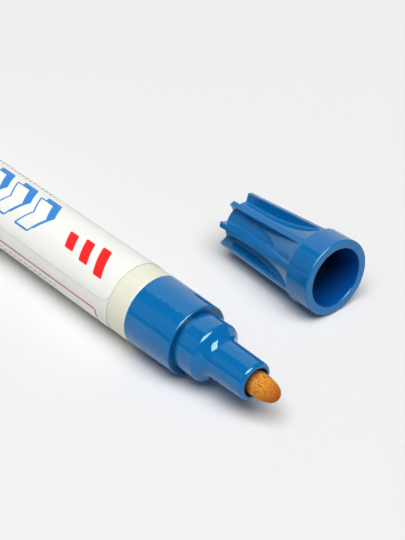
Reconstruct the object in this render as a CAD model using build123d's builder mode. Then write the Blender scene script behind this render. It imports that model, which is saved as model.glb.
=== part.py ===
from build123d import *
import os
from math import atan2, cos, degrees, pi, radians, sin, sqrt

# Valve-action paint marker lying on its side, with its cap taken off and laid beside it.
# Millimetres. The marker's axis is the X axis: the middle of its closed end is the origin and the nib
# points along +X. The marker lies on its label, so the table is one label radius below the axis.

# Barrel, a drawn can
barrel_d = 15.0
barrel_wall = 0.45
barrel_length = 98.0
base_wall = 0.8
base_edge_r = 1.0
mouth_edge_r = 0.3

# Label film, with one edge lapped over the other
label_t = 0.08
label_glue = 0.02
label_front_gap = 5.05
label_rear_gap = 4.0
label_lap = 3.0
label_edge_angle = 161.0

# Front section: collar, neck, shoulder and nose in one moulding
collar_length = 11.85
collar_proud = 0.05
collar_draft = 0.25
collar_lip_r = 0.3
neck_step = 1.3
neck_length = 4.9
neck_edge_r = 0.85
shoulder_length = 1.5
shoulder_root_r = 2.0
nose_base_d = 8.15
nose_front_d = 7.7
nose_length = 9.17
nose_edge_r = 0.7
spigot_length = 9.0
spigot_clearance = 0.03
chamber_step = 4.0
neck_wall = 1.5
feed_length = 11.0
feed_cone = 2.0

# Mouth of the nose: a vented bore with fine ribs ahead of the nib's guide
vent_d = 5.9
vent_depth = 3.5
vent_ribs = 30
vent_rib_height = 0.3
vent_rib_width = 0.22
vent_rib_setback = 0.5

# Nib
nib_d = 4.75
nib_clearance = 0.05
nib_reach = 5.55
nib_length = 26.3
nib_shank = 1.1
nib_point_r = 1.87
nib_rear_chamfer = 0.3
press_travel = 2.0

# Seal ring between spigot and barrel
seal_ring_w = 1.5
seal_ring_t = 0.8
seal_ring_edge_r = 0.3
seal_ring_setback = 3.5
seal_groove_gap = 0.1

# Valve: seat tube, stem, washer, spring and the plug behind it
fit_clearance = 0.02
seat_front_gap = 0.2
seat_flange_rim = 0.82
seat_flange_t = 1.2
seat_tail = 3.0
seat_plate = 0.9
seat_hole_d = 3.4
guide_tube_wall = 0.775
seat_wall = 1.2
guide_overlap = 1.75
valve_chamber_d = 7.2
valve_chamber_depth = 11.1
stem_d = 2.2
stem_button_d = 3.8
stem_button_t = 1.0
head_gap = 1.1
head_t = 1.2
pin_d = 1.8
pin_length = 4.5
pin_chamfer = 0.3
washer_inset = 0.1
washer_t = 0.6
spring_wire_d = 0.4
spring_coil_d = 3.2
spring_length = 7.0
spring_turns = 6
spring_end_gap = 0.02
holder_wall = 0.78
holder_floor = 1.0
holder_sleeve = 2.5
holder_flange_rim = 1.02
holder_flange_t = 0.8
holder_hole_d = 2.2
port_d = 0.8
port_circle_d = 4.6
ports = 4

# Mixing ball
ball_d = 6.0
ball_gap = 0.1
ball_station = 55.0

# Cap: a ring at the mouth, a core that flares into it, and fins
cap_length = 27.8
cap_ring_wall = 1.83
cap_ring_draft = 0.03
cap_ring_width = 6.02
cap_ring_edge_r = 0.36
cap_ring_step = 0.395
cap_flare_lift = 0.06
cap_fin_end_d = 13.1
cap_root_d = 9.4
cap_root_length = 5.8
cap_fins = 8
cap_fin_t = 1.14
cap_fin_root_r = 0.4
cap_rim_edge_r = 0.25
cap_mouth_clearance = 0.27
cap_bore_draft = 0.2
cap_wall = 0.95
cap_end_wall = 1.0
cap_end_r = 1.0
flute_margin = 1.5

# Where the cap lies: its mouth faces the nib's way, and it rests on its ring's rear edge and one fin
cap_x = 115.2
cap_y = 32.3
cap_yaw = -3.6
cap_fin_lean = 19.7
cap_rest_gap = 0.02

# Stations along the marker and radii that follow from the sizes above
barrel_r = barrel_d / 2
bore_r = barrel_r - barrel_wall
label_bore_r = barrel_r + label_glue
label_r = label_bore_r + label_t
floor_z = -label_r
mouth_x = barrel_length
collar_x = mouth_x + collar_length
neck_x = collar_x + neck_length
nose_x = neck_x + shoulder_length
front_x = nose_x + nose_length
spigot_x = mouth_x - spigot_length
spigot_r = bore_r - spigot_clearance
chamber_x = mouth_x + chamber_step
feed_x = chamber_x + feed_length
guide_r = nib_d / 2 + nib_clearance
guide_tube_r = guide_r + guide_tube_wall
nib_tip_x = front_x + nib_reach
nib_rear_x = nib_tip_x - nib_length
guide_tube_x = nib_rear_x + guide_overlap
seal_ring_x = mouth_x - seal_ring_setback
seal_ring_r = bore_r - seal_ring_t
seat_r = valve_chamber_d / 2 + seat_wall
chamber_r = seat_r + fit_clearance
seat_flange_r = seat_r + seat_flange_rim
seat_front_x = chamber_x - seat_front_gap
seat_rear_x = spigot_x - seat_tail
valve_face_x = seat_rear_x + valve_chamber_depth
head_x = valve_face_x - washer_t
spring_front_x = head_x - head_t
spring_rear_x = spring_front_x - spring_length
head_r = valve_chamber_d / 2 - head_gap
holder_r = valve_chamber_d / 2 - fit_clearance
holder_flange_r = holder_r + holder_flange_rim
parts_dir = "parts"

os.makedirs(parts_dir, exist_ok=True)


def save(piece, name):
    """Label a finished piece and write it under that name."""
    piece.part.label = name
    export_step(piece.part, f"{parts_dir}/{name}.step")


def corner(sketch, x, r):
    """The corner of a profile that lies at station x and radius r."""
    return sketch.vertices().sort_by_distance((x, r))[0]


# Barrel
with BuildPart() as barrel:
    with BuildSketch(Plane.XZ) as profile:
        with BuildLine():
            Polyline(
                (0, 0),
                (0, barrel_r),
                (mouth_x, barrel_r),
                (mouth_x, bore_r),
                (base_wall, bore_r),
                (base_wall, 0),
                close=True,
            )
        make_face()
        fillet(corner(profile, 0, barrel_r), base_edge_r)
        fillet(corner(profile, base_wall, bore_r), base_edge_r - barrel_wall)
        fillet(corner(profile, mouth_x, barrel_r), mouth_edge_r)
    revolve(axis=Axis.X)
save(barrel, "barrel")

# Label: a sleeve of film, and the lapped edge that rises to a second thickness
label_start_x = label_rear_gap
label_length = barrel_length - label_rear_gap - label_front_gap
lap_angle = degrees(label_lap / label_r)
lap_r = label_r + label_t


def on_barrel(r, angle):
    """Point at a radius and an angle about the marker's axis, counted from +Y towards +Z."""
    return (r * cos(radians(angle)), r * sin(radians(angle)))


with BuildPart() as label:
    with BuildSketch(Plane.YZ.offset(label_start_x)) as film:
        Circle(label_r)
        with BuildLine():
            lap_end = label_edge_angle - lap_angle
            lap_mid = label_edge_angle - lap_angle / 2
            Line(on_barrel(label_bore_r, label_edge_angle), on_barrel(lap_r, label_edge_angle))
            ThreePointArc(
                on_barrel(lap_r, label_edge_angle),
                on_barrel((lap_r + label_r) / 2, lap_mid),
                on_barrel(label_r, lap_end),
            )
            Line(on_barrel(label_r, lap_end), on_barrel(label_bore_r, lap_end))
            ThreePointArc(
                on_barrel(label_bore_r, lap_end),
                on_barrel(label_bore_r, lap_mid),
                on_barrel(label_bore_r, label_edge_angle),
            )
        make_face()
        Circle(label_bore_r, mode=Mode.SUBTRACT)
    extrude(amount=label_length)
save(label, "label")

# Front section
collar_rear_r = barrel_r + collar_proud
collar_front_r = collar_rear_r - collar_draft
neck_r = collar_front_r - neck_step
feed_r = neck_r - neck_wall
seal_groove_w = seal_ring_w + 2 * seal_groove_gap

with BuildPart() as front_section:
    with BuildSketch(Plane.XZ) as profile:
        with BuildLine():
            Polyline(
                (mouth_x, spigot_r),
                (mouth_x, collar_rear_r),
                (collar_x, collar_front_r),
                (collar_x, neck_r),
                (neck_x, neck_r),
                (nose_x, nose_base_d / 2),
                (front_x, nose_front_d / 2),
                (front_x, vent_d / 2),
                (front_x - vent_depth, vent_d / 2),
                (front_x - vent_depth, guide_r),
                (feed_x + feed_cone, guide_r),
                (feed_x, feed_r),
                (chamber_x, feed_r),
                (chamber_x, chamber_r),
                (spigot_x, chamber_r),
                (spigot_x, spigot_r),
                close=True,
            )
        make_face()
        fillet(corner(profile, collar_x, collar_front_r), collar_lip_r)
        fillet(corner(profile, neck_x, neck_r), neck_edge_r)
        fillet(corner(profile, nose_x, nose_base_d / 2), shoulder_root_r)
        fillet(corner(profile, front_x, nose_front_d / 2), nose_edge_r)
        with Locations((seal_ring_x, spigot_r)):
            Rectangle(seal_groove_w, 2 * (spigot_r - seal_ring_r), mode=Mode.SUBTRACT)
    revolve(axis=Axis.X)
    with BuildSketch(Plane.YZ.offset(front_x - vent_depth)):
        with PolarLocations(vent_d / 2 - vent_rib_height / 2, vent_ribs):
            Rectangle(2 * vent_rib_height, vent_rib_width)
        Circle(vent_d / 2 - vent_rib_height, mode=Mode.SUBTRACT)
    extrude(amount=vent_depth - vent_rib_setback)
save(front_section, "front_section")

# Nib: a fibre rod whose end is a bullet, made of a wide arc and a point arc that share a tangent
nib_r = nib_d / 2
nib_shoulder_x = front_x + nib_shank
point_x = nib_tip_x - nib_point_r
bullet_run = point_x - nib_shoulder_x
bullet_r = (bullet_run**2 + nib_r**2 - nib_point_r**2) / (2 * (nib_r - nib_point_r))
bullet_y = nib_r - bullet_r
bullet_turn = degrees(atan2(-bullet_y, bullet_run))

with BuildPart() as nib:
    with BuildSketch(Plane.XZ) as profile:
        with BuildLine():
            CenterArc((nib_shoulder_x, bullet_y), bullet_r, 90, bullet_turn - 90)
            CenterArc((point_x, 0), nib_point_r, bullet_turn, -bullet_turn)
            Polyline((nib_tip_x, 0), (nib_rear_x, 0), (nib_rear_x, nib_r), (nib_shoulder_x, nib_r))
        make_face()
        chamfer(corner(profile, nib_rear_x, nib_r), nib_rear_chamfer)
    revolve(axis=Axis.X)
save(nib, "nib")

# Seal ring, squeezed between the spigot's groove and the barrel
with BuildPart() as seal_ring:
    with BuildSketch(Plane.XZ) as profile:
        with Locations((seal_ring_x, (bore_r + seal_ring_r) / 2)):
            RectangleRounded(seal_ring_w, seal_ring_t, seal_ring_edge_r)
    revolve(axis=Axis.X)
save(seal_ring, "seal_ring")

# Valve seat: guide tube for the nib, seat plate, and the chamber behind it
with BuildPart() as valve_seat:
    with BuildSketch(Plane.XZ) as profile:
        with BuildLine():
            Polyline(
                (seat_rear_x, seat_r),
                (spigot_x - seat_flange_t, seat_r),
                (spigot_x - seat_flange_t, seat_flange_r),
                (spigot_x, seat_flange_r),
                (spigot_x, seat_r),
                (seat_front_x, seat_r),
                (seat_front_x, guide_tube_r),
                (guide_tube_x, guide_tube_r),
                (guide_tube_x, guide_r),
                (valve_face_x + seat_plate, guide_r),
                (valve_face_x + seat_plate, seat_hole_d / 2),
                (valve_face_x, seat_hole_d / 2),
                (valve_face_x, valve_chamber_d / 2),
                (seat_rear_x, valve_chamber_d / 2),
                close=True,
            )
        make_face()
    revolve(axis=Axis.X)
save(valve_seat, "valve_seat")

# Valve stem: button behind the nib, rod through the seat, head, and a pin inside the spring
pin_x = spring_front_x - pin_length

with BuildPart() as valve_stem:
    with BuildSketch(Plane.XZ) as profile:
        with BuildLine():
            Polyline(
                (pin_x, 0),
                (pin_x, pin_d / 2),
                (spring_front_x, pin_d / 2),
                (spring_front_x, head_r),
                (head_x, head_r),
                (head_x, stem_d / 2),
                (nib_rear_x - stem_button_t, stem_d / 2),
                (nib_rear_x - stem_button_t, stem_button_d / 2),
                (nib_rear_x, stem_button_d / 2),
                (nib_rear_x, 0),
                close=True,
            )
        make_face()
        chamfer(corner(profile, pin_x, pin_d / 2), pin_chamfer)
    revolve(axis=Axis.X)
save(valve_stem, "valve_stem")

# Valve seal: a washer in front of the stem's head
with BuildPart() as valve_seal:
    with BuildSketch(Plane.YZ.offset(head_x)):
        Circle(head_r - washer_inset)
        Circle(stem_d / 2 + fit_clearance, mode=Mode.SUBTRACT)
    extrude(amount=washer_t)
save(valve_seal, "valve_seal")

# Valve spring: a wire wound round the stem's pin, each half turn made of two arcs that share a tangent
spring_r = spring_coil_d / 2
coil_start_x = spring_rear_x + spring_wire_d / 2 + spring_end_gap
coil_rise = spring_length - spring_wire_d - 2 * spring_end_gap
half_turns = 2 * spring_turns
gap_samples = 24


def coil_point(half_turn):
    """Point on the coil's centre line after a number of half turns."""
    angle = pi * half_turn
    x = coil_start_x + coil_rise * half_turn / half_turns
    return Vector(x, spring_r * cos(angle), spring_r * sin(angle))


def coil_direction(half_turn):
    """Direction of the coil's centre line after a number of half turns."""
    angle = pi * half_turn
    along = coil_rise / half_turns / pi
    return Vector(along, -spring_r * sin(angle), spring_r * cos(angle)).normalized()


with BuildPart() as valve_spring:
    with BuildLine() as coil:
        for step in range(half_turns):
            start, start_way = coil_point(step), coil_direction(step)
            end, end_way = coil_point(step + 1), coil_direction(step + 1)
            chord, ways = end - start, start_way + end_way
            a = 4 - ways.dot(ways)
            b = 2 * chord.dot(ways)
            reach = (-b + sqrt(b * b + 4 * a * chord.dot(chord))) / (2 * a)
            early, late = start + start_way * reach, end - end_way * reach
            middle = (early + late) / 2
            TangentArc(start, middle, tangent=start_way)
            TangentArc(middle, end, tangent=late - early)
    with BuildSketch(Plane(coil_point(0), z_dir=coil_direction(0))):
        Circle(spring_wire_d / 2)
    sweep()
save(valve_spring, "valve_spring")

# The wire's least gap to itself, measured between points at least half a turn apart
coil_points = [coil_point(i / gap_samples) for i in range(half_turns * gap_samples + 1)]
least_gap = min(
    (coil_points[i] - coil_points[j]).length
    for i in range(len(coil_points))
    for j in range(i + gap_samples, len(coil_points))
)
print("valve spring: least gap between turns", round(least_gap - spring_wire_d, 3), "mm")

# Spring holder: a plug behind the spring, with ports for the paint
with BuildPart() as spring_holder:
    with BuildSketch(Plane.XZ) as profile:
        with BuildLine():
            Polyline(
                (seat_rear_x - holder_flange_t, holder_r - holder_wall),
                (seat_rear_x - holder_flange_t, holder_flange_r),
                (seat_rear_x, holder_flange_r),
                (seat_rear_x, holder_r),
                (spring_rear_x + holder_sleeve, holder_r),
                (spring_rear_x + holder_sleeve, holder_r - holder_wall),
                (spring_rear_x, holder_r - holder_wall),
                (spring_rear_x, holder_hole_d / 2),
                (spring_rear_x - holder_floor, holder_hole_d / 2),
                (spring_rear_x - holder_floor, holder_r - holder_wall),
                close=True,
            )
        make_face()
    revolve(axis=Axis.X)
    with BuildSketch(Plane.YZ.offset(spring_rear_x)):
        with PolarLocations(port_circle_d / 2, ports):
            Circle(port_d / 2)
    extrude(amount=-holder_floor, mode=Mode.SUBTRACT)
save(spring_holder, "spring_holder")

# Mixing ball, on the lowest line of the barrel's bore
with BuildPart() as mixing_ball:
    with Locations((ball_station, 0, ball_d / 2 + ball_gap - bore_r)):
        Sphere(ball_d / 2)
save(mixing_ball, "mixing_ball")

# Cap: its own frame has x running back from the rim, and y up
cap_mouth_r = neck_r + cap_mouth_clearance
cap_rim_r = cap_mouth_r + cap_ring_wall
fin_end_r = cap_fin_end_d / 2
fin_low = fin_end_r * cos(radians(cap_fin_lean)) + cap_fin_t / 2 * sin(radians(cap_fin_lean))
ring_rear_r = cap_rim_r - cap_ring_draft
fin_start_r = ring_rear_r - cap_ring_step
ring_foot_x = cap_ring_width - cap_ring_edge_r
cap_pitch = degrees(atan2(ring_rear_r - fin_low, cap_length - ring_foot_x))
ring_foot_drop = ring_rear_r * cos(radians(cap_pitch)) + ring_foot_x * sin(radians(cap_pitch))
cap_z = floor_z + ring_foot_drop + cap_rest_gap
cap_heading = Vector(1, 0, 0).rotate(Axis.Y, -cap_pitch).rotate(Axis.Z, cap_yaw)
cap_side = Vector(0, 1, 0).rotate(Axis.Z, cap_yaw)
cap_plane = Plane((cap_x, cap_y, cap_z), x_dir=-cap_heading, z_dir=cap_side)
cap_axis = Axis((cap_x, cap_y, cap_z), cap_heading)
fin_turning = Axis((0, 0, 0), cap_heading)

cap_root_r = cap_root_d / 2
flare_x = cap_length - cap_root_length
flare_run = flare_x - cap_ring_width
flare_rise = fin_start_r + cap_flare_lift - cap_root_r
flare_r = (flare_run**2 + flare_rise**2) / (2 * flare_rise)
flare_turn = degrees(atan2(flare_run, flare_r - flare_rise))
flute_top_r = cap_rim_r + flute_margin
flute_end_x = cap_length + flute_margin

bore_depth = flare_r + cap_root_r - (cap_mouth_r - cap_bore_draft)
bore_turn = degrees(atan2(sqrt((flare_r + cap_wall) ** 2 - bore_depth**2), bore_depth))


def cap_axis_distance(edge):
    """How far the middle of an edge lies from the cap's axis."""
    reach = edge.position_at(0.5) - cap_axis.position
    return (reach - cap_heading * reach.dot(cap_heading)).length


# The space between the fins, which is cut out of the cap's blank
with BuildPart() as flutes:
    with BuildSketch(cap_plane):
        with BuildLine():
            flare = CenterArc((flare_x, cap_root_r + flare_r), flare_r, -90, -flare_turn)
            Polyline(
                flare @ 1,
                (cap_ring_width, flute_top_r),
                (flute_end_x, flute_top_r),
                (flute_end_x, cap_root_r),
                flare @ 0,
            )
        make_face()
    revolve(axis=cap_axis)
    for fin in range(cap_fins // 2):
        fin_normal = cap_side.rotate(fin_turning, fin * 360 / cap_fins - cap_fin_lean)
        with BuildSketch(Plane(cap_axis.position, x_dir=-cap_heading, z_dir=fin_normal)):
            Rectangle(2 * flute_end_x, 2 * flute_top_r + flute_margin)
        extrude(amount=cap_fin_t / 2, both=True, mode=Mode.SUBTRACT)
    walls = flutes.faces().filter_by(GeomType.PLANE).filter_by(cap_axis, reverse=True)
    roots = [edge for wall in walls for edge in wall.edges().sort_by(cap_axis_distance)[:2]]
    fillet(roots, cap_fin_root_r)

with BuildPart() as cap:
    with BuildSketch(cap_plane) as profile:
        with BuildLine():
            Polyline(
                (0, 0),
                (0, cap_rim_r),
                (cap_ring_width, ring_rear_r),
                (cap_ring_width, fin_start_r),
                (cap_length, fin_end_r),
                (cap_length, 0),
                close=True,
            )
        make_face()
        fillet(corner(profile, 0, cap_rim_r), cap_rim_edge_r)
        fillet(corner(profile, cap_ring_width, ring_rear_r), cap_ring_edge_r)
    revolve(axis=cap_axis)
    add(flutes.part, mode=Mode.SUBTRACT)
    with BuildSketch(cap_plane) as profile:
        with BuildLine():
            bore_arc = CenterArc((flare_x, cap_root_r + flare_r), flare_r + cap_wall, -90, -bore_turn)
            Polyline(
                bore_arc @ 1,
                (0, cap_mouth_r),
                (0, 0),
                (cap_length - cap_end_wall, 0),
                (cap_length - cap_end_wall, cap_root_r - cap_wall),
                bore_arc @ 0,
            )
        make_face()
        fillet(corner(profile, cap_length - cap_end_wall, cap_root_r - cap_wall), cap_end_r)
    revolve(axis=cap_axis, mode=Mode.SUBTRACT)
    rim = cap.faces().filter_by(cap_axis).sort_by(cap_axis)[-1]
    fillet(rim.inner_wires()[0].edges(), cap_rim_edge_r)
save(cap, "cap")
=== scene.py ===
from math import cos, pi, radians, sin, sqrt

import bpy
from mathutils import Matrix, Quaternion, Vector, noise


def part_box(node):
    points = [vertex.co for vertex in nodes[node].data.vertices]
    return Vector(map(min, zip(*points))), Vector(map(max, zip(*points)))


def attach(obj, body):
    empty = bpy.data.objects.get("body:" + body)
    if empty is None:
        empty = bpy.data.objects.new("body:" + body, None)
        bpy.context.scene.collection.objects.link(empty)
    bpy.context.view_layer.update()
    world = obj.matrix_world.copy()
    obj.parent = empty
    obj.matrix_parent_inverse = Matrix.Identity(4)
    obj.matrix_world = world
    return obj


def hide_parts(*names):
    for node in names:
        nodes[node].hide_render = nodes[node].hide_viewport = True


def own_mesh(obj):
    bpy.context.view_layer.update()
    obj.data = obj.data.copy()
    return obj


# Looks of a paint marker that lies on a pale floor with its cap beside it.
# Metres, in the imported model's frame: +X runs from the barrel's closed end to the nib, and +Z is up.

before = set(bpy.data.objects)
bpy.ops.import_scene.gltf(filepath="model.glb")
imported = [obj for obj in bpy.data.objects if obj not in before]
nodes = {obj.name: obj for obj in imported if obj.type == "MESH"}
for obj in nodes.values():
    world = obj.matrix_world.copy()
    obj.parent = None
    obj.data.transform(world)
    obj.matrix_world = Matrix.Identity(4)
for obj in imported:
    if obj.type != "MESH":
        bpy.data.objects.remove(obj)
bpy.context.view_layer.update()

MM = 0.001


def rgb(red, green, blue):
    """An opaque colour."""
    return (red, green, blue, 1.0)


def heading(azimuth, elevation):
    """Unit vector towards an azimuth, counted from +X to +Y, and an elevation."""
    return Vector((cos(elevation) * cos(azimuth), cos(elevation) * sin(azimuth), sin(elevation)))


def ease(share):
    """Soften a share that runs from 0 to 1 at both ends."""
    return share * share * (3 - 2 * share)


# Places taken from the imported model
label_low, label_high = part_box("label")
nib_low, nib_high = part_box("nib")
spring_low, spring_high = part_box("valve_spring")
film_r = -label_low.z
floor_z = label_low.z
barrel_front_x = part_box("barrel")[1].x
nose_front_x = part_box("front_section")[1].x

# Camera, worked out from the outlines in the photograph
camera_target = Vector((87.815, 22.377, -7.6)) * MM
camera_distance = 296.531 * MM
camera_azimuth = radians(-43.866)
camera_elevation = radians(37.627)
camera_roll = radians(0.949)
camera_lens = 96.06
camera_sensor = 36.0
camera_clip = (0.01, 20.0)

# Light: a lamp overhead and a dim even surround light everything. A catch light below the lamp, a panel
# behind the marker's tail and a dimmer one on its left show in the gloss alone.
lamp_place = Vector((2.08, -1.0, 5.2))
lamp_size = (6.4, 3.8)
lamp_turn = radians(33)
lamp_power = 464.0
catch_drop = 0.06
catch_power = 720.0
panel_edge = Vector((-2.6, -0.2, 3.6))
panel_lean = radians(-15)
panel_width = 5.1
panel_reach = (-3.6, 2.4)
panel_power = 88.0
left_reach = 3.2
left_azimuth = radians(-138)
left_elevation = radians(27)
left_size = (2.1, 2.0)
left_power = 4.2
surround = 0.11
surround_shade = rgb(1.0, 1.0, 1.0)

# Floor
floor_half = 3.0
floor_shade = rgb(0.772, 0.772, 0.772)
floor_roughness = 0.9
floor_specular = 0.0

# Most values of a noise lie in this part of its range
noise_span = (0.3, 0.7)

# Blue plastic of the front section and the cap, with painted shade and less polish inside its holes
blue_shades = (rgb(0.0004, 0.132, 0.395), rgb(0.0008, 0.148, 0.42))
blue_cloud = 6.0 * MM
blue_tint = rgb(0.68, 1.0, 0.78)
polish_size = 1.2 * MM
polish_detail = 4.0
polish_roughness = (0.04, 0.07)
hole_roughness = 0.3
painted_hole_shade = rgb(0.0002, 0.01, 0.045)
hole_edge = 0.1 * MM
skin_depth = 0.003 * MM
skin_detail = 1.0
front_skin = 1.6 * MM
cap_skin = 2.6 * MM

# Mouth of the nose, darkened inside with painted shade
nose_hole_r = 2.97 * MM
nose_painted_shade_share = 0.9

# Painted shade on the step between the collar's lip and the neck, which fades over these spans
collar_length = 11.85 * MM
collar_front_x = barrel_front_x + collar_length
step_painted_shade_share = 0.55
step_r = (6.9 * MM, 7.2 * MM)
step_start = (collar_front_x - 0.15 * MM, collar_front_x - 0.05 * MM)
step_end = (collar_front_x + 0.05 * MM, collar_front_x + 0.75 * MM)

# Shallow waves in the collar's skin, which fade out over these spans along X, Y and Z
wave_depth = 0.085 * MM
wave_length = 1.15 * MM
wave_stretch = (1, 3, 3)
wave_detail = 0.0
wave_end = (collar_front_x - 1.85 * MM, collar_front_x - 0.35 * MM)
wave_back = (0.5 * MM, 2.5 * MM)
wave_rise = (3.0 * MM, 5.0 * MM)

# The cap's bore: where its mouth is, the way it faces, its wall, which narrows on a curve, and the painted
# shade that darkens it with depth
cap_mouth = Vector((115.2, 32.3, 0.902)) * MM
cap_yaw = radians(-3.6)
cap_pitch = radians(4.42)
cap_hole_r = 6.3 * MM
bore_start = 6.0 * MM
bore_end = 22.0 * MM
bore_end_r = 4.25 * MM
bore_end_fade = 1.0 * MM
bore_flare = 3.0 * MM
painted_bore_share = (0.5, 0.95)
painted_bore_share_depth = (0.1 * MM, 8.0 * MM)
painted_bore_shade = rgb(0.0002, 0.02, 0.24)
painted_bore_shade_depth = (1.0 * MM, 8.0 * MM)

# Cream enamel of the barrel
enamel_shades = (rgb(0.75, 0.755, 0.61), rgb(0.79, 0.785, 0.66))
enamel_cloud = 3.0 * MM
enamel_stretch = (4, 1, 1)
enamel_specular = 0.35
enamel_roughness = (0.33, 0.39)
enamel_grain = 0.5 * MM
enamel_bump = 0.6 * MM
enamel_depth = 0.0006 * MM

# Plain parts: two shades, the roughness, and 1 for metal
plain_looks = {
    "valve_plastic": (rgb(0.76, 0.76, 0.73), rgb(0.82, 0.82, 0.80), 0.45, 0.0),
    "seal_rubber": (rgb(0.02, 0.02, 0.02), rgb(0.035, 0.035, 0.035), 0.6, 0.0),
    "ball_steel": (rgb(0.6, 0.6, 0.61), rgb(0.65, 0.65, 0.66), 0.15, 1.0),
    "spring_steel": (rgb(0.52, 0.52, 0.53), rgb(0.58, 0.58, 0.59), 0.25, 1.0),
    "film_edge": (rgb(0.45, 0.45, 0.40), rgb(0.55, 0.55, 0.50), 0.6, 0.0),
}
plain_cloud = 1.5 * MM
plain_grain = 0.4 * MM
plain_polish = (0.8, 1.2)
plain_bump = 0.3 * MM
plain_detail = 3.0
plain_depth = 0.002 * MM

# Nib: its form
nib_chamfer = 0.3 * MM
nib_root = 6.0 * MM
nib_shank = 1.1 * MM
nib_point_r = 1.87 * MM
rear_rings = 24
shank_rings = 30
bullet_rings = 60
nib_sides = 160
groove_depth = 0.07 * MM
groove_fade = 0.5
groove_along = 0.45 / MM
groove_around = 2.9 / MM

# Nib: its fibres, soaked with amber paint, with pale hairs, a dark point and painted shadow at the root by
# the hole
fibre_specular = 0.15
fibre_roughness = 0.8
fibre_shades = (rgb(0.42, 0.095, 0.001), rgb(0.76, 0.28, 0.008))
fibre_span = (0.38, 0.6)
fibre_bump = 0.14 * MM
streak_width = 0.2 * MM
streak_stretch = (8, 1, 1)
streak_detail = 3.0
fine_width = 0.09 * MM
fine_stretch = (4, 1, 1)
fine_share = 0.25
hair_width = 0.15 * MM
hair_stretch = (7, 1, 1)
hair_detail = 1.0
hair_sway = 0.8
hair_span = (0.54, 0.63)
hair_reach = (nose_front_x + 1.5 * MM, nose_front_x + 3.5 * MM)
hair_share = (0.9, 0.35)
hair_shade = rgb(0.9, 0.54, 0.15)
hair_height = 0.6
point_length = 2.8 * MM
point_share = 0.75
point_shade = rgb(0.36, 0.065, 0.002)
root_shadow_fray = 1.6 * MM
root_shadow_reach = (nose_front_x - 0.8 * MM, nose_front_x + 0.3 * MM)
root_shadow_share = 0.85
root_painted_shadow = rgb(0.06, 0.018, 0.002)

# Label film: its form, with one edge lapped over the other
film_t = 0.08 * MM
lap_length = 3.0 * MM
lap_flat = 1.2 * MM
lap_tuck = 1.0 * MM
lap_edge = radians(71)
corner_r = 2.3 * MM
corner_steps = 16
round_steps = 240
film_columns = 41
sharp_angle = radians(40)

# Label film: its satin white skin
film_whites = (rgb(0.83, 0.835, 0.79), rgb(0.86, 0.865, 0.82))
film_cloud = 4.0 * MM
film_specular = 0.2
film_roughness = (0.36, 0.48)
film_grain = 0.8 * MM
film_bump = 1.5 * MM
film_stretch = (3, 1, 1)
film_depth = 0.002 * MM

# The label's print, in millimetres back from its front edge and round from its top line towards the lap
ink_blue = rgb(0.025, 0.23, 0.63)
ink_red = rgb(0.88, 0.01, 0.01)
stripe_red = rgb(0.46, 0.02, 0.022)
tick_grey = rgb(0.06, 0.06, 0.06)
# Grey of the thin lines at the film's edges: partly glue and dirt, partly painted shadow
edge_dirt_and_shadow = rgb(0.55, 0.55, 0.49)
print_blur = 0.05
chevron_start = 22.0
chevron_count = 8
chevron_step = 7.6
chevron_round = 2.7
chevron_half = (2.2, 4.1)
chevron_bend = 0.6
chevron_corner = 0.5
chevron_line = 0.42
chevron_shade = (-1.0, -1.15)
bar_round = 3.2
bar_half = 1.25
bar_lean = 0.45
bar_corner = 0.35
stripe_span = (3.4, 85.0)
stripe_round = (12.4, 22.6)
stripe_corner = 0.5
stripe_width = 0.36
edge_line = 0.1
far_round = 40.0

# Slanted bars: each one's place along and half its length round
bars_at = ((6.4, 2.9), (10.9, 2.3), (15.4, 1.7))

# Rows of ticks: the span along, the place round, the step, half a tick's sides and its lean
tick_rows = (
    ((30.0, 62.0), -4.6, 1.3, (0.2, 0.45), 0.2),
    ((16.0, 70.0), 14.2, 1.6, (0.45, 0.14), 0.0),
    ((16.0, 52.0), 15.6, 1.6, (0.45, 0.14), 0.0),
)

# Valve spring
spring_wire = 0.4 * MM
spring_turns = 6
spring_steps = 32
spring_sides = 10


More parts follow.
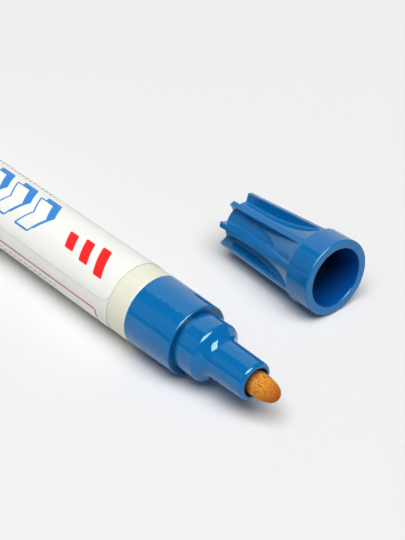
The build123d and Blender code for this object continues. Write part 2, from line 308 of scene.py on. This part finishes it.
class Shader:
    """A material's nodes, with short calls for the kinds used here."""

    def __init__(self, name, specular=0.5):
        self.material = bpy.data.materials.new(name)
        self.material.use_nodes = True
        self.tree = self.material.node_tree
        self.surface = self.tree.nodes["Principled BSDF"]
        self.surface.inputs["Specular IOR Level"].default_value = specular
        self.place = self.node("ShaderNodeTexCoord").outputs["Object"]

    def node(self, kind, **settings):
        made = self.tree.nodes.new(kind)
        for key, value in settings.items():
            setattr(made, key, value)
        return made

    def join(self, value, socket):
        """Link a socket's value, or set a plain one on the socket itself."""
        if isinstance(value, bpy.types.NodeSocket):
            self.tree.links.new(value, socket)
        else:
            socket.default_value = value

    def math(self, operation, *values):
        made = self.node("ShaderNodeMath", operation=operation)
        for value, socket in zip(values, made.inputs):
            self.join(value, socket)
        return made.outputs[0]

    def product(self, first, *others):
        for other in others:
            first = self.math("MULTIPLY", first, other)
        return first

    def vector(self, operation, *values):
        made = self.node("ShaderNodeVectorMath", operation=operation)
        for value, socket in zip(values, made.inputs):
            self.join(value, socket)
        return made.outputs

    def axes(self):
        made = self.node("ShaderNodeSeparateXYZ")
        self.join(self.place, made.inputs["Vector"])
        return made.outputs

    def about(self, mouth, way):
        """Depth behind a mouth that faces this way, and distance from the axis through it."""
        reach = self.vector("SUBTRACT", self.place, mouth)["Vector"]
        depth = self.vector("DOT_PRODUCT", reach, -way)["Value"]
        across = self.vector("CROSS_PRODUCT", reach, way)["Vector"]
        return depth, self.vector("LENGTH", across)["Value"]

    def noise(self, size, stretch=(1, 1, 1), detail=2.0, sway=0.0):
        """Noise from 0 to 1 whose features are about this large, in metres, times the stretch."""
        mapping = self.node("ShaderNodeMapping")
        mapping.inputs["Scale"].default_value = [1 / (size * share) for share in stretch]
        self.join(self.place, mapping.inputs["Vector"])
        made = self.node("ShaderNodeTexNoise")
        made.inputs["Scale"].default_value = 1.0
        made.inputs["Detail"].default_value = detail
        made.inputs["Distortion"].default_value = sway
        self.join(mapping.outputs["Vector"], made.inputs["Vector"])
        return made.outputs["Fac"]

    def spread(self, value, low, high, to_low=0.0, to_high=1.0):
        """Carry a value from one range to another, held at the ends."""
        made = self.node("ShaderNodeMapRange")
        for socket, number in zip(made.inputs, (value, low, high, to_low, to_high)):
            self.join(number, socket)
        return made.outputs["Result"]

    def grain(self, size, low, high, detail=2.0):
        """Noise of this size that runs between two values."""
        return self.spread(self.noise(size, detail=detail), *noise_span, low, high)

    def mix(self, share, first, second):
        made = self.node("ShaderNodeMix", data_type="RGBA")
        self.join(share, made.inputs["Factor"])
        self.join(first, made.inputs["A"])
        self.join(second, made.inputs["B"])
        return made.outputs["Result"]

    def clouds(self, size, shades, stretch=(1, 1, 1), detail=3.0):
        """Colour that drifts between two shades in clouds of this size."""
        cloud = self.noise(size, stretch=stretch, detail=detail)
        return self.mix(self.spread(cloud, *noise_span), *shades)

    def colour(self, value):
        self.join(value, self.surface.inputs["Base Color"])

    def roughness(self, value):
        self.join(value, self.surface.inputs["Roughness"])

    def bump(self, height, depth=1.0):
        """Raise the surface by a height map, whose range from 0 to 1 is this deep in metres."""
        made = self.node("ShaderNodeBump")
        made.inputs["Distance"].default_value = depth
        self.join(height, made.inputs["Height"])
        self.join(made.outputs["Normal"], self.surface.inputs["Normal"])


def blue_plastic(shader, inside, shade):
    """Glossy moulded plastic with painted shade and less polish inside its hole, where the share is above
    0.
    """
    shader.surface.inputs["Specular Tint"].default_value = blue_tint
    skin = shader.clouds(blue_cloud, blue_shades)
    # Painted shade is mixed into the skin where the share is above 0
    shader.colour(shader.mix(inside, skin, shade))
    polish = shader.grain(polish_size, *polish_roughness, detail=polish_detail)
    shader.roughness(shader.math("MULTIPLY_ADD", inside, hole_roughness, polish))


def collar_waves(shader, axes):
    """Height in metres of the front section's skin, with waves on the collar's near top side."""
    waves = shader.noise(wave_length, stretch=wave_stretch, detail=wave_detail)
    depth = shader.product(
        shader.spread(axes["X"], *wave_end, wave_depth, 0.0),
        shader.spread(axes["Z"], *wave_rise),
        shader.spread(axes["Y"], *wave_back, 1.0, 0.0),
    )
    skin = shader.math("MULTIPLY", shader.noise(front_skin, detail=skin_detail), skin_depth)
    return shader.math("MULTIPLY_ADD", waves, depth, skin)


def front_plastic():
    """The front section's plastic, with painted shade in the nose's mouth and on the step behind the neck.
    """
    shader = Shader("front_plastic")
    axes = shader.axes()
    off_axis = shader.about(Vector((nose_front_x, 0, 0)), Vector((1, 0, 0)))[1]
    # Painted shade inside the nose's mouth
    hole = shader.spread(off_axis, nose_hole_r, nose_hole_r + hole_edge, nose_painted_shade_share, 0.0)
    # Painted shade on the step between the collar's lip and the neck
    step = shader.product(
        shader.spread(off_axis, *step_r, step_painted_shade_share, 0.0),
        shader.spread(axes["X"], *step_start),
        shader.spread(axes["X"], *step_end, 1.0, 0.0),
    )
    blue_plastic(shader, shader.math("MAXIMUM", hole, step), painted_hole_shade)
    shader.bump(collar_waves(shader, axes))
    return shader.material


def cap_plastic():
    """The cap's plastic, with painted shade inside its bore, whose wall narrows towards the closed end."""
    shader = Shader("cap_plastic")
    depth, off_axis = shader.about(cap_mouth, heading(cap_yaw, cap_pitch))
    run = shader.math("DIVIDE", shader.math("SUBTRACT", bore_end, depth), bore_end - bore_start)
    wall = shader.math("MULTIPLY_ADD", shader.math("MULTIPLY", run, run), bore_flare, bore_end_r)
    gap = shader.math("SUBTRACT", off_axis, shader.math("MINIMUM", wall, cap_hole_r))
    # Share of painted shade inside the bore, which grows with depth
    inside = shader.product(
        shader.spread(depth, *painted_bore_share_depth, *painted_bore_share),
        shader.spread(gap, 0.0, hole_edge, 1.0, 0.0),
        shader.spread(depth, bore_end, bore_end + bore_end_fade, 1.0, 0.0),
    )
    # Painted shade: blue near the mouth, darker deeper in
    shade = shader.mix(shader.spread(depth, *painted_bore_shade_depth), painted_bore_shade, painted_hole_shade)
    blue_plastic(shader, inside, shade)
    shader.bump(shader.noise(cap_skin, detail=skin_detail), skin_depth)
    return shader.material


def cream_enamel():
    """Satin enamel with faint clouds drawn out along the barrel."""
    shader = Shader("cream_enamel", specular=enamel_specular)
    shader.colour(shader.clouds(enamel_cloud, enamel_shades, stretch=enamel_stretch))
    shader.roughness(shader.grain(enamel_grain, *enamel_roughness))
    shader.bump(shader.noise(enamel_bump), enamel_depth)
    return shader.material


def plain_part(name):
    """Plastic, rubber or metal with faint clouds and a fine grain."""
    first, second, roughness, metallic = plain_looks[name]
    low, high = plain_polish
    shader = Shader(name)
    shader.surface.inputs["Metallic"].default_value = metallic
    shader.colour(shader.clouds(plain_cloud, (first, second)))
    shader.roughness(shader.grain(plain_grain, roughness * low, roughness * high))
    shader.bump(shader.noise(plain_bump, detail=plain_detail), plain_depth)
    return shader.material


def nib_fibre():
    """Fibres that run to the point, darker there, with painted shadow at the hole and pale hairs among
    them.
    """
    shader = Shader("nib_fibre", specular=fibre_specular)
    shader.roughness(fibre_roughness)
    along = shader.axes()["X"]
    streak = shader.noise(streak_width, stretch=streak_stretch, detail=streak_detail)
    fine = shader.math("MULTIPLY", shader.noise(fine_width, stretch=fine_stretch), fine_share)
    blend = shader.math("MULTIPLY_ADD", streak, 1 - fine_share, fine)
    colour = shader.mix(shader.spread(blend, *fibre_span), *fibre_shades)
    hair = shader.noise(hair_width, stretch=hair_stretch, detail=hair_detail, sway=hair_sway)
    reach = shader.spread(along, *hair_reach, *hair_share)
    pale = shader.product(shader.spread(hair, *hair_span), reach)
    colour = shader.mix(pale, colour, hair_shade)
    point = shader.spread(along, nib_high.x - point_length, nib_high.x, 0.0, point_share)
    colour = shader.mix(point, colour, point_shade)
    # Painted shadow at the nib's root by the hole, with a frayed edge
    root = shader.math("SUBTRACT", along, shader.math("MULTIPLY", streak, root_shadow_fray))
    shader.colour(shader.mix(shader.spread(root, *root_shadow_reach, root_shadow_share, 0.0), colour, root_painted_shadow))
    shader.bump(shader.math("MULTIPLY_ADD", hair, hair_height, blend), fibre_bump)
    return shader.material


class Print(Shader):
    """Printed shapes on the film: each is a distance to its outline, below 0 inside, in millimetres."""

    def __init__(self, name, specular):
        super().__init__(name, specular)
        axes = self.axes()
        turn = self.math("ARCTAN2", self.math("MULTIPLY", axes["Y"], -1.0), axes["Z"])
        self.along = self.math("MULTIPLY", self.math("SUBTRACT", label_high.x, axes["X"]), 1 / MM)
        self.round = self.math("MULTIPLY", turn, film_r / MM)

    def box(self, middle, half, lean=0.0, corner=0.0, place=None):
        """Box with round corners, its middle and half sides given along and round the barrel."""
        along, around = place or (self.along, self.round)
        along = self.math("SUBTRACT", along, middle[0])
        around = self.math("SUBTRACT", around, middle[1])
        along = self.math("ADD", along, self.math("MULTIPLY", around, lean))
        sides = [
            self.math("SUBTRACT", self.math("ABSOLUTE", side), size - corner)
            for side, size in ((along, half[0]), (around, half[1]))
        ]
        out = [self.math("MAXIMUM", side, 0.0) for side in sides]
        squares = [self.math("MULTIPLY", side, side) for side in out]
        length = self.math("SQRT", self.math("ADD", *squares))
        inside = self.math("MINIMUM", self.math("MAXIMUM", *sides), 0.0)
        return self.math("SUBTRACT", self.math("ADD", length, inside), corner)

    def between(self, along, around, corner=0.0):
        """Box between two places along the barrel and two places round it."""
        middle = (sum(along) / 2, sum(around) / 2)
        half = ((along[1] - along[0]) / 2, (around[1] - around[0]) / 2)
        return self.box(middle, half, corner=corner)

    def chevrons(self, shift=(0.0, 0.0)):
        """Row of chevrons along the barrel, moved by a shift along and round it."""
        around = self.math("SUBTRACT", self.round, chevron_round + shift[1])
        bend = self.math("MULTIPLY", self.math("ABSOLUTE", around), chevron_bend)
        run = self.math("SUBTRACT", self.math("SUBTRACT", self.along, chevron_start + shift[0]), bend)
        cell = self.math("WRAP", run, chevron_step, 0.0)
        middle = chevron_step / 2
        shape = self.box((middle, 0.0), chevron_half, corner=chevron_corner, place=(cell, around))
        half_length = chevron_step * chevron_count / 2
        ends = self.box((half_length, 0.0), (half_length, far_round), place=(run, around))
        return self.math("MAXIMUM", shape, ends)

    def row(self, span, around, step, half, lean):
        """Short marks at even steps along the barrel."""
        along = self.math("PINGPONG", self.math("SUBTRACT", self.along, span[0]), step / 2)
        mark = self.box((0.0, around), half, lean=lean, place=(along, self.round))
        ends = self.between(span, (around - far_round, around + far_round))
        return self.math("MAXIMUM", mark, ends)

    def either(self, first, *others):
        for other in others:
            first = self.math("MINIMUM", first, other)
        return first

    def line(self, shape, width):
        """The shape's outline, this wide."""
        return self.math("SUBTRACT", self.math("ABSOLUTE", shape), width / 2)

    def ink(self, under, shape, colour):
        """Print a shape in a colour over what lies under it."""
        return self.mix(self.spread(shape, -print_blur, print_blur, 1.0, 0.0), under, colour)


def printed(film):
    """A made-up print on white: chevrons with a drop shade, slanted bars, a stripe and rows of ticks."""
    white = film.mix(film.noise(film_cloud), *film_whites)
    chevrons = film.chevrons()
    colour = film.ink(white, film.chevrons(chevron_shade), ink_blue)
    colour = film.ink(colour, chevrons, ink_blue)
    colour = film.ink(colour, film.math("ADD", chevrons, chevron_line), white)
    bars = [
        film.box((along, bar_round), (bar_half, half), lean=bar_lean, corner=bar_corner)
        for along, half in bars_at
    ]
    colour = film.ink(colour, film.either(*bars), ink_red)
    stripe = film.line(film.between(stripe_span, stripe_round, corner=stripe_corner), stripe_width)
    colour = film.ink(colour, stripe, stripe_red)
    for tick_row in tick_rows:
        colour = film.ink(colour, film.row(*tick_row), tick_grey)
    return colour


def film_glue_and_shadow_lines(film):
    """Thin grey lines along the lapped edge, whose corners are round, and along the front edge: partly
    glue and dirt, partly painted shadow.
    """
    length = (label_high.x - label_low.x) / MM
    lap = lap_edge * film_r / MM
    sheet = film.between((0.0, length), (lap - 2 * far_round, lap), corner=corner_r / MM)
    front = film.math("SUBTRACT", film.along, edge_line)
    return film.either(film.line(sheet, edge_line), front)


def label_film():
    """Satin white film with its print, and thin edge lines that are partly glue and dirt and partly
    painted shadow.
    """
    film = Print("label_film", film_specular)
    # Edge lines over the print: partly glue and dirt, partly painted shadow
    film.colour(film.ink(printed(film), film_glue_and_shadow_lines(film), edge_dirt_and_shadow))
    film.roughness(film.grain(film_grain, *film_roughness))
    film.bump(film.noise(film_bump, stretch=film_stretch), film_depth)
    return film.material


def make_object(name, points, faces, materials, body):
    """A smooth mesh that rides on a body and takes the materials it is given."""
    mesh = bpy.data.meshes.new(name)
    mesh.from_pydata(points, [], faces)
    mesh.validate()
    for material in materials:
        mesh.materials.append(material)
    mesh.polygons.foreach_set("use_smooth", [True] * len(mesh.polygons))
    made = bpy.data.objects.new(name, mesh)
    bpy.context.scene.collection.objects.link(made)
    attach(made, body)
    return made


def film_rows():
    """Rows of the film from its lapped edge round the barrel: angle, radius and inset at the ends."""
    around = 2 * pi * film_r + lap_tuck
    distances = [corner_r * (1 - cos(pi / 2 * i / corner_steps)) for i in range(corner_steps)]
    distances += [corner_r + (around - corner_r) * i / round_steps for i in range(round_steps + 1)]
    rows = []
    for distance in distances:
        rise = min(1.0, max(0.0, (lap_length - distance) / (lap_length - lap_flat)))
        r = film_r + film_t * ease(rise)
        inset = corner_r - sqrt(corner_r**2 - max(0.0, corner_r - distance) ** 2)
        rows.append((lap_edge - distance / film_r, r, inset))
    return rows


def film_side(rows, lift):
    """Points of one side of the film, this far out from its outer side."""
    points = []
    for angle, r, inset in rows:
        length = label_high.x - label_low.x - 2 * inset
        for column in range(film_columns):
            x = label_low.x + inset + length * column / (film_columns - 1)
            points.append((x, -(r + lift) * sin(angle), (r + lift) * cos(angle)))
    return points


def film_rim(rows):
    """The points round the edge of one side with this many rows, in order."""
    last = film_columns - 1
    rim = list(range(film_columns))
    rim += [row * film_columns + last for row in range(1, rows)]
    rim += [(rows - 1) * film_columns + column for column in range(last - 1, -1, -1)]
    rim += [row * film_columns for row in range(rows - 2, 0, -1)]
    return rim


def label_piece(film, edge):
    """The film goes once round the barrel from its lapped edge and tucks under it."""
    rows = film_rows()
    outer = film_side(rows, 0.0)
    inner = film_side(rows, -film_t)
    count = len(outer)
    faces = []
    for row in range(len(rows) - 1):
        for column in range(film_columns - 1):
            a = row * film_columns + column
            b = a + film_columns
            faces.append((a, a + 1, b + 1, b))
            faces.append((count + a, count + b, count + b + 1, count + a + 1))
    side_faces = len(faces)
    rim = film_rim(len(rows))
    for here, there in zip(rim, rim[1:] + rim[:1]):
        faces.append((there, here, count + here, count + there))
    made = make_object("label_film", outer + inner, faces, (film, edge), "marker")
    for polygon in made.data.polygons[side_faces:]:
        polygon.material_index = 1
    made.data.set_sharp_from_angle(angle=sharp_angle)
    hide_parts("label")


def tube_faces(rings, around):
    """Faces of a tube with this many rings of this many points, closed at both ends."""
    faces = [tuple(range(around - 1, -1, -1)), tuple(range((rings - 1) * around, rings * around))]
    for ring in range(rings - 1):
        for step in range(around):
            a = ring * around + step
            b = ring * around + (step + 1) % around
            faces.append((a, b, b + around, a + around))
    return faces


def nib_outline():
    """Places along the nib and its radius there: a rod, then a wide arc and a point arc on one tangent."""
    nib_r = nib_high.y
    rear_x = nib_low.x + nib_chamfer
    root_x = nose_front_x - nib_root
    shoulder_x = nose_front_x + nib_shank
    point_x = nib_high.x - nib_point_r
    run = point_x - shoulder_x
    side_r = (run**2 + nib_r**2 - nib_point_r**2) / (2 * (nib_r - nib_point_r))
    switch_x = point_x + nib_point_r * run / sqrt(run**2 + (side_r - nib_r) ** 2)
    outline = [(nib_low.x, nib_r - nib_chamfer)]
    outline += [(rear_x + (root_x - rear_x) * i / rear_rings, nib_r) for i in range(rear_rings)]
    outline += [(root_x + (shoulder_x - root_x) * i / shank_rings, nib_r) for i in range(shank_rings)]
    for i in range(bullet_rings):
        x = shoulder_x + (nib_high.x - shoulder_x) * sin(pi / 2 * i / bullet_rings)
        if x < switch_x:
            outline.append((x, sqrt(side_r**2 - (x - shoulder_x) ** 2) - side_r + nib_r))
        else:
            outline.append((x, sqrt(nib_point_r**2 - (x - point_x) ** 2)))
    return outline


def nib_piece(fibre):
    """A fibre bullet with shallow grooves, which fade towards its point."""
    nib_r = nib_high.y
    around_scale = groove_around * nib_r
    outline = nib_outline()
    points = []
    for x, r in outline:
        fade = min(1.0, r / (nib_r * groove_fade))
        for step in range(nib_sides):
            angle = 2 * pi * step / nib_sides
            spot = Vector((groove_along * x, around_scale * cos(angle), around_scale * sin(angle)))
            dip = groove_depth * fade * (1 + noise.noise(spot)) / 2
            points.append((x, (r - dip) * cos(angle), (r - dip) * sin(angle)))
    faces = tube_faces(len(outline), nib_sides)
    made = make_object("nib_fibre", points, faces, (fibre,), "nib_unit")
    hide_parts("nib")


def spring_piece(steel):
    """The valve spring's wire, coiled between the ends of the spring part."""
    wire_r = spring_wire / 2
    coil_r = (spring_high.y - spring_low.y) / 2 - wire_r
    length = spring_high.x - spring_low.x
    rise = length - spring_wire
    climb = rise / (2 * pi * spring_turns)
    steps = spring_turns * spring_steps
    points = []
    for step in range(steps + 1):
        angle = 2 * pi * step / spring_steps
        out = Vector((0, cos(angle), sin(angle)))
        along = Vector((climb, -coil_r * sin(angle), coil_r * cos(angle))).normalized()
        middle = Vector((spring_low.x + wire_r + rise * step / steps, 0, 0)) + out * coil_r
        for side in range(spring_sides):
            turn = 2 * pi * side / spring_sides
            points.append(middle + (out * cos(turn) + along.cross(out) * sin(turn)) * wire_r)
    faces = tube_faces(steps + 1, spring_sides)
    made = make_object("spring_coil", points, faces, (steel,), "marker")
    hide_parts("valve_spring")
    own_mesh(made)


def dress_nodes():
    """Give the nodes that are shown as they are their materials."""
    plastic = plain_part("valve_plastic")
    rubber = plain_part("seal_rubber")
    looks = {
        "barrel": cream_enamel(),
        "front_section": front_plastic(),
        "cap": cap_plastic(),
        "valve_seat": plastic,
        "valve_stem": plastic,
        "spring_holder": plastic,
        "valve_seal": rubber,
        "seal_ring": rubber,
        "mixing_ball": plain_part("ball_steel"),
    }
    for name, look in looks.items():
        mesh = nodes[name].data
        mesh.materials.clear()
        mesh.materials.append(look)


def add_floor():
    """A plain matt floor that the marker and its cap lie on."""
    signs = ((-1, -1), (1, -1), (1, 1), (-1, 1))
    corners = [(x * floor_half, y * floor_half, floor_z) for x, y in signs]
    mesh = bpy.data.meshes.new("floor")
    mesh.from_pydata(corners, [], [(0, 1, 2, 3)])
    shader = Shader("floor", specular=floor_specular)
    shader.colour(floor_shade)
    shader.roughness(floor_roughness)
    mesh.materials.append(shader.material)
    floor = bpy.data.objects.new("floor", mesh)
    bpy.context.scene.collection.objects.link(floor)


def add_lamp(name, place, turn, size, power, gloss=False):
    """Area lamp at a place counted from the camera's target, which may show in the gloss alone."""
    data = bpy.data.lights.new(name, "AREA")
    data.shape = "RECTANGLE"
    data.size, data.size_y = size
    data.energy = power
    lamp = bpy.data.objects.new(name, data)
    lamp.location = camera_target + place
    lamp.rotation_mode = "QUATERNION"
    lamp.rotation_quaternion = turn
    lamp.visible_camera = False
    lamp.visible_diffuse = not gloss
    bpy.context.scene.collection.objects.link(lamp)


def add_lamps():
    """The overhead lamp and the lights for the gloss."""
    down = Quaternion((0, 0, 1), lamp_turn)
    add_lamp("overhead_lamp", lamp_place, down, lamp_size, lamp_power)
    catch_place = lamp_place - Vector((0, 0, catch_drop))
    add_lamp("catch_light", catch_place, down, lamp_size, catch_power, gloss=True)
    lean = Quaternion((1, 0, 0), panel_lean)
    panel = panel_edge + lean @ Vector((0, panel_width / 2, sum(panel_reach) / 2))
    panel_turn = lean @ Vector((1, 0, 0)).to_track_quat("-Z", "Y")
    panel_size = (panel_width, panel_reach[1] - panel_reach[0])
    add_lamp("back_panel", panel, panel_turn, panel_size, panel_power, gloss=True)
    left = heading(left_azimuth, left_elevation)
    left_turn = (-left).to_track_quat("-Z", "Y")
    add_lamp("left_panel", left * left_reach, left_turn, left_size, left_power, gloss=True)


def add_surround():
    """Dim even light from all round."""
    world = bpy.data.worlds.new("surround")
    bpy.context.scene.world = world
    world.use_nodes = True
    shade = world.node_tree.nodes["Background"]
    shade.inputs["Color"].default_value = surround_shade
    shade.inputs["Strength"].default_value = surround


def add_camera():
    """The photograph's camera."""
    back = heading(camera_azimuth, camera_elevation)
    data = bpy.data.cameras.new("camera")
    data.lens = camera_lens
    data.sensor_width = camera_sensor
    data.clip_start, data.clip_end = camera_clip
    camera = bpy.data.objects.new("camera", data)
    camera.rotation_mode = "QUATERNION"
    camera.location = camera_target + back * camera_distance
    camera.rotation_quaternion = (-back).to_track_quat("-Z", "Y") @ Quaternion((0, 0, 1), camera_roll)
    bpy.context.scene.collection.objects.link(camera)
    bpy.context.scene.camera = camera


dress_nodes()
label_piece(label_film(), plain_part("film_edge"))
nib_piece(nib_fibre())
spring_piece(plain_part("spring_steel"))
add_floor()
add_lamps()
add_surround()
add_camera()
bpy.context.scene.view_settings.view_transform = "Standard"
